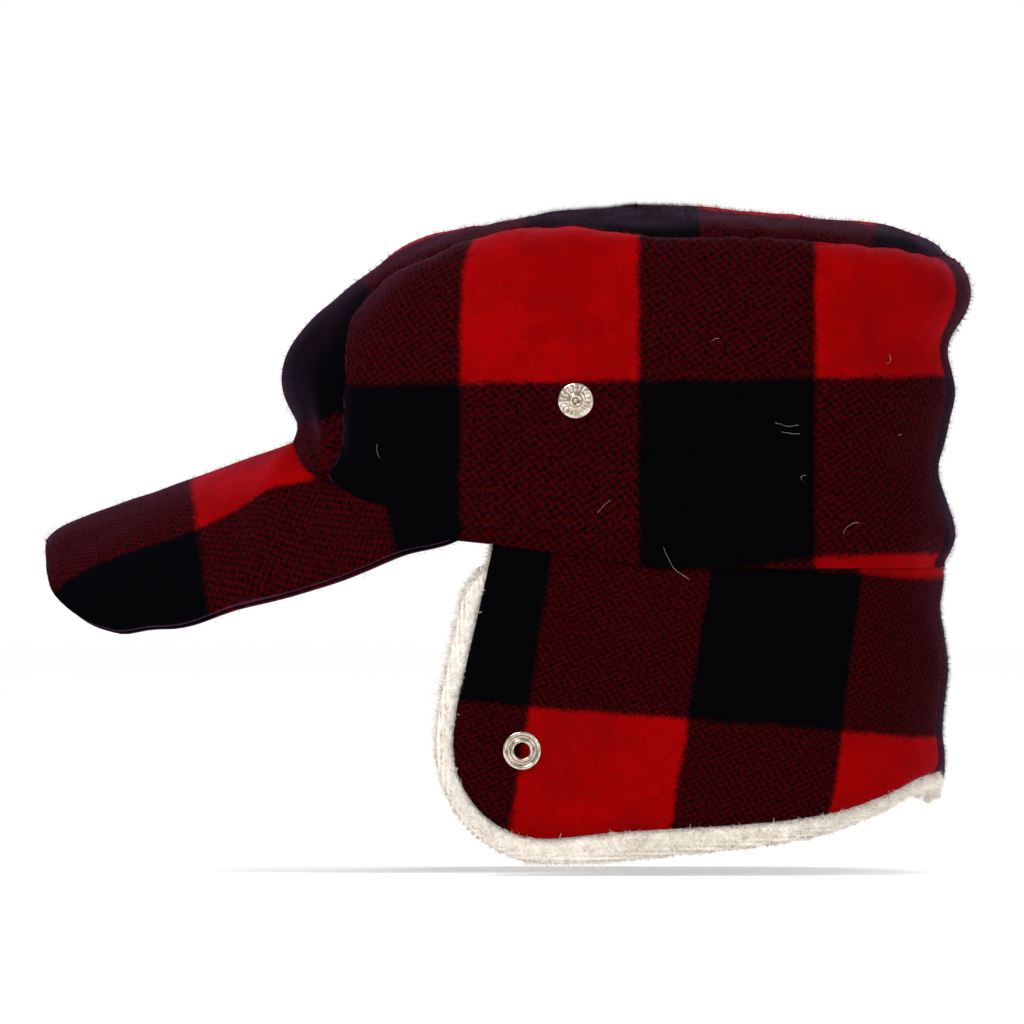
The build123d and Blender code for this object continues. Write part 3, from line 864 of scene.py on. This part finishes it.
# ---- ear and neck flap ---------------------------------------------------------------------------
FLAP_RADIUS = REAR_RADIUS - (HALF_WIDTH - FLAP_FACE)
CORNER_X, CORNER_Y = HALF_LENGTH - REAR_RADIUS, HALF_WIDTH - REAR_RADIUS
FLAP_END = CORNER_X + FLAP_RADIUS * math.pi / 2 + CORNER_Y
# outline of the flap's wool: length round the hat from x = 0, and height; it ends past centre back
WOOL_RIM = [(-41.5, 14), (-42.6, 8.5), (-46.8, -11), (-51.4, -31), (-54.4, -44.5), (-55.6, -57.5),
            (-53.6, -68.0), (-47.2, -78.0), (-37.5, -84.7), (-26, -87.0), (-4, -85.0), (15.6, -83.8),
            (41, -82.2), (66.5, -79), (88, -73.5), (108.7, -67.8), (136, -66), (170, -66), (170, 14)]
SEGMENTS = ["ear_flap", "side_flap", "corner_flap", "quarter_flap", "neck_flap"]
STEP = math.radians(30)
BORDERS = [-90.0, -5.0] + [CORNER_X + FLAP_RADIUS * STEP * k for k in (0.5, 1.5, 2.5)]
BORDERS.append(2 * FLAP_END - BORDERS[-1])


def flap_plan(u):
    """Plan point and outward direction of the flap's face at length u, measured from x = 0."""
    way = np.where(u > FLAP_END, -1, 1)
    u = folded_back(u)
    angle = np.clip((u - CORNER_X) / FLAP_RADIUS, 0, math.pi / 2)
    x = np.where(u < CORNER_X, u, CORNER_X + FLAP_RADIUS * np.sin(angle))
    past = np.clip(u - CORNER_X - FLAP_RADIUS * math.pi / 2, 0, None)
    y = -(CORNER_Y + FLAP_RADIUS * np.cos(angle)) + past
    return x, y * way, np.sin(angle), -np.cos(angle) * way


RIM = spline(WOOL_RIM, np.linspace(0, len(WOOL_RIM) - 1, (len(WOOL_RIM) - 1) * 10 + 1))


def folded_back(u):
    """The length u, or for the far side of centre back the length of its mirror point."""
    return np.where(u > FLAP_END, 2 * FLAP_END - u, u)


def rim_distance(u, z):
    """Distance inside the wool's outline; the far side of centre back counts as its mirror."""
    return side_of(RIM, folded_back(u), z)


def flap_patch(first, last, pitch, overlap, grow):
    """Grid of one segment from u = first to last, widened by overlap and clipped to the outline.

    Gives points, faces, normals, length u, room inside the wool's outline, how far the cloth goes
    past that outline, and the height left under the crown's edge."""
    start, stop = first - overlap, last + overlap
    u = np.linspace(start, stop, max(int((stop - start) / pitch) + 1, 4))
    z = np.linspace(-100, 14, int(114 / pitch) + 1)
    uu, zz = (a.ravel() for a in np.meshgrid(u, z, indexing="ij"))
    x, y, nx, ny = flap_plan(uu)
    points = np.stack([x, y, zz, uu, zz], -1)
    room = rim_distance(uu, zz)
    share = [0.62, 0.75, 1.0, 0.62, 0.45]
    over = grow * np.interp(folded_back(uu), [-60, -45, 0, 80, 120], share)
    over *= np.where(zz > -2, 0, 1) * smoothstep(4, -12, zz) + 1e-3
    value = np.minimum(room + over, lower_edge(x) + 1.5 - zz)
    carried = np.hstack([points, np.stack([nx, ny, 0 * nx, uu, room, over], -1)])
    carried, faces = clip(carried, grid_faces(len(u), len(z)), value)
    points, normals = carried[:, :5].copy(), carried[:, 5:8]
    edge = lower_edge(points[:, 0]) + 1.5 - points[:, 2]
    return points, faces, normals, *carried[:, 8:11].T, edge


def rim_direction(u, z):
    """Direction in space, for each point, that leads straight out over the flap's nearest edge."""
    step = 1.0
    du = (rim_distance(u + step, z) - rim_distance(u - step, z)) / 2
    dz = (rim_distance(u, z + step) - rim_distance(u, z - step)) / 2
    _, _, nx, ny = flap_plan(u)
    along = np.stack([-ny, nx, np.zeros_like(u)], -1)
    way = -du[:, None] * along - dz[:, None] * np.array((0, 0, 1.0))
    return way / np.maximum(np.linalg.norm(way, axis=1, keepdims=True), 1e-6)


def flap_waves(points, u):
    """Soft folds of the hanging flap, in mm outward."""
    z = points[:, 2]
    rear = smoothstep(60, 130, folded_back(u))
    wave = 1.8 * bump(z, -33, 10) - 1.2 * bump(z, -13, 6) - 0.6 * bump(z, -55, 8)
    x, y, _, _ = flap_plan(u)
    flat = np.stack([x, y, z], -1)
    return rear * wave + 0.8 * noise_at(flat, 45, 21) + 0.25 * noise_at(flat, 15, 22)


def sink(u, first, last, overlap, depth):
    """How far a segment's cloth goes under its neighbours', past its own borders."""
    past = np.maximum(np.maximum(first - u, u - last), 0)
    return depth * smoothstep(0, overlap, past)


def flap_weave(u, z):
    """Where the point lies on the plaid, in mm; the flap's checks are smaller and lean."""
    scale = PERIOD / 51.5
    side = folded_back(u) - 0.155 * z - 27.2
    down = z + 0.078 * np.minimum(folded_back(u), 100) + 47
    return np.stack([side * scale, down * scale + PERIOD * 2], -1)


def flap_wool(first, last):
    overlap = 1.6
    points, faces, normals, u, room, _, edge = flap_patch(first, last, 1.9, overlap, 0.0)
    outer = flap_waves(points, u) - sink(u, first, last, overlap, 0.45)
    outer += -1.5 * np.exp(-edge / 3.0) - 1.6 * np.exp(-room / 1.3)
    outer += 0.6 * bump(room, 6, 4)
    from_socket = np.hypot(points[:, 0] - SOCKET[0], points[:, 2] - SOCKET[2])
    outer += -0.5 * smoothstep(14, 5, from_socket) - 2.0 * smoothstep(4.4, 2.4, from_socket)
    points[:, 3:5] = flap_weave(u, points[:, 2])
    skin = points.copy()
    skin[:, :3] += normals * outer[:, None]
    points, faces = shell(points, faces, normals, outer, np.minimum(outer - 1.0, -WOOL + 0.8))
    inside = (u > first) & (u < last) & (from_socket > 7)
    count = int((last - first) * 55)
    return add_fibres(points, faces, skin[inside], normals[inside], count, 1.4, 0.07)


def flap_pile(first, last):
    overlap = 4.0 if last < CORNER_X else 7.5
    points, faces, normals, u, room, over, edge = flap_patch(first, last, 1.5, overlap, 9.0)
    free = np.clip(room + over, 0, None)
    roll = quarter_round(free, 5.0)
    lumps = noise_at(points, 5.5, 31) * 0.8 + noise_at(points, 2.4, 32) * 0.5
    beyond = smoothstep(0.5, -2.5, room)
    wave = flap_waves(points, u)
    outer = -5.0 + roll * (1.6 + 2.6 * beyond) + wave + lumps * beyond * roll
    inner = -5.0 - roll * 4.6 + wave
    inner += (lumps * 1.3 + noise_at(points, 14, 33) * 0.6) * roll
    inner += 3.0 * np.exp(-np.clip(edge, 0, None) / 4)
    inner += sink(u, first, last, overlap, 2.4)
    inner = np.minimum(inner, outer - 0.3)
    rim = (u > first) & (u < last) & (room < 0.5)
    covered = (u > first - overlap * 0.8) & (u < last + overlap * 0.8)
    front, back = points.copy(), points.copy()
    front[:, :3] += normals * outer[:, None]
    back[:, :3] += normals * inner[:, None]
    body, skin = shell(points, faces, normals, outer, inner)
    edge_way = rim_direction(u, points[:, 2]) * smoothstep(5, 0, free)[:, None]
    for root, tilt, where, per_mm, length, width in (
        (front, normals * 0.7 + edge_way, rim, 150, 1.3, 0.2),
        (back, -normals * 0.7 + edge_way, covered, 330, 1.7, 0.22),
    ):
        count = int((last - first) * per_mm)
        body, skin = add_fibres(
            body, skin, root[where], tilt[where], count, length, width, curl=0.8, lean=(0, 0, 0))
    return body, skin


def fold_span(body, reach=6.0):
    """The ends of a stretch reach mm above and below a segment's fold line, in metres."""
    place, axis = FOLDS[body]
    outward = np.array([place[0] - CORNER_X, place[1], 0.0])
    if body.endswith(("left", "right")):
        outward = np.cross(axis, (0, 0, 1.0))
        outward *= np.sign(outward @ np.array([place[0] * 0.2, place[1], 0]))
    up = np.cross(axis, outward)
    up *= np.sign(up[2]) / np.linalg.norm(up)
    return tuple((place + up * reach) * MM), tuple((place - up * reach) * MM)


def flap_pieces():
    """Every segment in wool and pile; all but the neck's are mirrored to the right side."""
    for index, segment in enumerate(SEGMENTS):
        first, last = BORDERS[index], BORDERS[index + 1]
        for layer, build, look, slot in (
            ("wool", flap_wool, WOOL_LOOK, "flap_wool"),
            ("pile", flap_pile, SHERPA_LOOK, "sherpa"),
        ):
            points, faces = build(first, last)
            sides = [("", points, False)]
            if segment != "neck_flap":
                sides = [("_left", points, False), ("_right", mirrored(points), True)]
            for side, shaped, turned in sides:
                name = f"{segment}_{layer}{side}"
                piece = make_piece(f"{name}_cloth", shaped, faces, look, flip=turned)
                body = segment + side
                start, end = fold_span(body)
                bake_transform(piece)
                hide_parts(name)


flap_pieces()


# ---- snap fasteners ------------------------------------------------------------------------------
# turned profiles as (radius, height above the cloth), from the middle out and round to the back
STUD_PROFILE = [
    (0.02, 2.3), (0.5, 2.35), (0.95, 2.7), (1.15, 3.3), (1.5, 3.65), (1.9, 3.6), (2.15, 3.2),
    (2.2, 2.5), (2.0, 1.7), (2.25, 1.2), (2.6, 1.0), (3.1, 0.9), (3.5, 0.86), (3.6, 0.86),
    (3.9, 0.86), (4.3, 0.86), (4.7, 0.84), (4.8, 0.84), (5.2, 0.82), (5.55, 0.66), (5.8, 0.36),
    (5.85, 0.05), (5.7, -0.25), (5.0, -0.5), (0.02, -0.5),
]
SOCKET_PROFILE = [
    (6.3, -0.3), (6.35, 0.2), (6.25, 0.7), (5.95, 1.05), (5.55, 1.18), (5.15, 1.02), (4.85, 0.62),
    (4.6, 0.40), (4.2, 0.36), (3.9, 0.5), (3.7, 0.85), (3.45, 1.12), (3.1, 1.2), (2.75, 1.06),
    (2.56, 0.7), (2.55, -2.9), (3.6, -2.9), (3.6, -0.3), (6.3, -0.3),
]
STUD_TICKS = (20, 3.5, 4.9, 0.35)   # count, inner and outer radius, rise


def lathe(profile, turns=120, ticks=None):
    """A turned part from (radius, height) pairs, with radial ticks raised on its flange."""
    rows = []
    for radius, height in profile:
        angle = np.linspace(0, 2 * math.pi, turns, endpoint=False)
        lift = np.zeros(turns)
        if ticks and ticks[1] <= radius <= ticks[2] and height > 0:
            lift = ticks[3] * (np.sin(ticks[0] * angle) > 0.2)
        rows.append(np.stack([radius * np.cos(angle), radius * np.sin(angle), height + lift], -1))
    faces = []
    for k in range(len(profile) - 1):
        for i in range(turns):
            j = (i + 1) % turns
            faces.append((k * turns + i, k * turns + j, (k + 1) * turns + j, (k + 1) * turns + i))
    return np.concatenate(rows), faces


def snap_part(name, node, profile, centre, body, ticks=None):
    """The left part and its mirror image, turned about y, for the CAD node on each side."""
    form, faces = lathe(profile, ticks=ticks)
    for side, way in (("left", -1), ("right", 1)):
        points = np.stack([form[:, 0], way * form[:, 2], form[:, 1]], -1)
        points[:, 0] += centre[0]
        points[:, 1] += way * centre[1]
        points[:, 2] += centre[2]
        piece = make_piece(f"{name}_{side}", points, faces, NICKEL_LOOK, flip=way > 0)
        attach(piece, body(side))
        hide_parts(f"{node}_{side}")


snap_part("snap_stud_turned", "snap_stud", STUD_PROFILE,
          (STUD[0], HALF_WIDTH - 0.4, STUD[2]), lambda side: "crown", STUD_TICKS)
snap_part("snap_socket_turned", "snap_socket", SOCKET_PROFILE,
          (SOCKET[0], FLAP_FACE, SOCKET[2]), lambda side: f"ear_flap_{side}")
for node, piece in frame["nodes"].items():
    look = WIRE_LOOK if "ring" in node else NICKEL_BACK_LOOK
    piece.data.materials.clear()
    piece.data.materials.append(look)


# ---- lint ----------------------------------------------------------------------------------------
def lint_look():
    material, tree, shader = new_material("lint")
    n = Nodes(tree)
    tone = n.mix(n.noise(n.place(), 300.0), (0.35, 0.33, 0.34, 1), (0.62, 0.60, 0.60, 1))
    n.link(tone, shader.inputs["Base Color"])
    shader.inputs["Roughness"].default_value = 0.7
    return material


def hair(start, heading, length, curl, count=9, width=0.045):
    """A loose hair as a flat ribbon in the plane of the side: rows of x, height."""
    path = [np.array(start, float)]
    angle = heading
    for _ in range(count - 1):
        angle += curl + rng.normal(0, 0.25)
        path.append(path[-1] + length / (count - 1) * np.array((math.cos(angle), math.sin(angle))))
    path = np.array(path)
    way = np.gradient(path, axis=0)
    side = np.stack([-way[:, 1], way[:, 0]], -1)
    side *= width / 2 / np.linalg.norm(side, axis=1, keepdims=True)
    return np.concatenate([path - side, path + side], 0)


def lint(name, spots, skin):
    """Loose hairs that lie on the skin's left face near the spots (x, height, length, curl)."""
    vertices = np.array([v.co for v in skin.data.vertices]) / MM
    vertices = vertices[vertices[:, 1] < -60]
    tree = kdtree.KDTree(len(vertices))
    for i, v in enumerate(vertices):
        tree.insert((v[0], 0, v[2]), i)
    tree.balance()
    rows, faces = [], []
    for x, z, length, curl in spots:
        ribbon = hair((x, z), rng.uniform(0, 2 * math.pi), length, curl)
        count = len(ribbon) // 2
        base = len(rows)
        for a, b in ribbon:
            near = [vertices[hit[1]][1] for hit in tree.find_n((a, 0, b), 8)]
            rows.append((a, min(near) - 0.05, b))
        for k in range(base, base + count - 1):
            faces.append((k, k + 1, k + count + 1, k + count))
    return make_piece(name, np.array(rows), faces, LINT_LOOK)


LINT_LOOK = lint_look()
crown_lint = lint("lint_on_crown", [
    (48, 47, 8, 0.12), (50, 44, 6, 0.05), (70, 11, 7, -0.2), (58, 30, 4, 0.2), (89, 43, 1.5, 0.1),
    (12, 7, 14, 0.06), (-5, 22, 6, 0.1), (30, 74, 3, 0.2), (-80, 40, 5, 0.1), (84, 66, 4, 0.3),
], bpy.data.objects["crown_side_left_cloth"])
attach(crown_lint, "crown")

# ---- camera and light ----------------------------------------------------------------------------
AIM = Vector((-36.7, 0, 17.6)) * MM
WIDTH = 332.8 * MM
LENS, SENSOR = 900.0, 36.0
ELEVATION = math.radians(0.4)
distance = WIDTH * LENS / SENSOR
camera_data = bpy.data.cameras.new("camera")
camera_data.lens, camera_data.sensor_width = LENS, SENSOR
camera_data.clip_end = 50
camera = bpy.data.objects.new("camera", camera_data)
bpy.context.scene.collection.objects.link(camera)
away = Vector((0, -math.cos(ELEVATION), math.sin(ELEVATION)))
camera.location = AIM + away * distance
camera.rotation_euler = (-away).to_track_quat("-Z", "Y").to_euler()
bpy.context.scene.camera = camera

world = bpy.data.worlds.new("studio")
world.use_nodes = True
sky = world.node_tree.nodes["Background"]
sky.inputs[0].default_value = (1, 1, 1, 1)
seen = world.node_tree.nodes.new("ShaderNodeLightPath").outputs["Is Camera Ray"]
sky_nodes = Nodes(world.node_tree)
sky_nodes.link(sky_nodes.ramp(seen, 0, 1, 0.62, 1.02), sky.inputs[1])
bpy.context.scene.world = world
bpy.context.scene.view_settings.view_transform = "Standard"


def softbox(name, place, size, power):
    data = bpy.data.lights.new(name, "AREA")
    data.shape = "DISK"
    data.size, data.energy = size, power
    lamp = bpy.data.objects.new(name, data)
    bpy.context.scene.collection.objects.link(lamp)
    lamp.location = place
    lamp.rotation_euler = (AIM - Vector(place)).to_track_quat("-Z", "Y").to_euler()


softbox("key", (-0.7, -0.7, 1.4), 0.8, 22)
softbox("fill", (0.8, -1.1, 0.5), 0.9, 4)
softbox("rim", (0.3, 1.0, 0.9), 0.8, 6)

floor_mesh = bpy.data.meshes.new("floor")
floor_z = box_mm("ear_flap_pile_left")[0][2] * MM - 0.004
corners = ((-6, -6), (6, -6), (6, 6), (-6, 6))
floor_mesh.from_pydata([(x, y, floor_z) for x, y in corners], [], [(0, 1, 2, 3)])
floor = bpy.data.objects.new("floor", floor_mesh)
bpy.context.scene.collection.objects.link(floor)
floor_look, _, floor_shader = new_material("floor")
floor_shader.inputs["Base Color"].default_value = (0.9, 0.9, 0.9, 1)
floor_shader.inputs["Roughness"].default_value = 0.9
floor_shader.inputs["Emission Color"].default_value = (1, 1, 1, 1)
floor_shader.inputs["Emission Strength"].default_value = 0.42
floor_mesh.materials.append(floor_look)
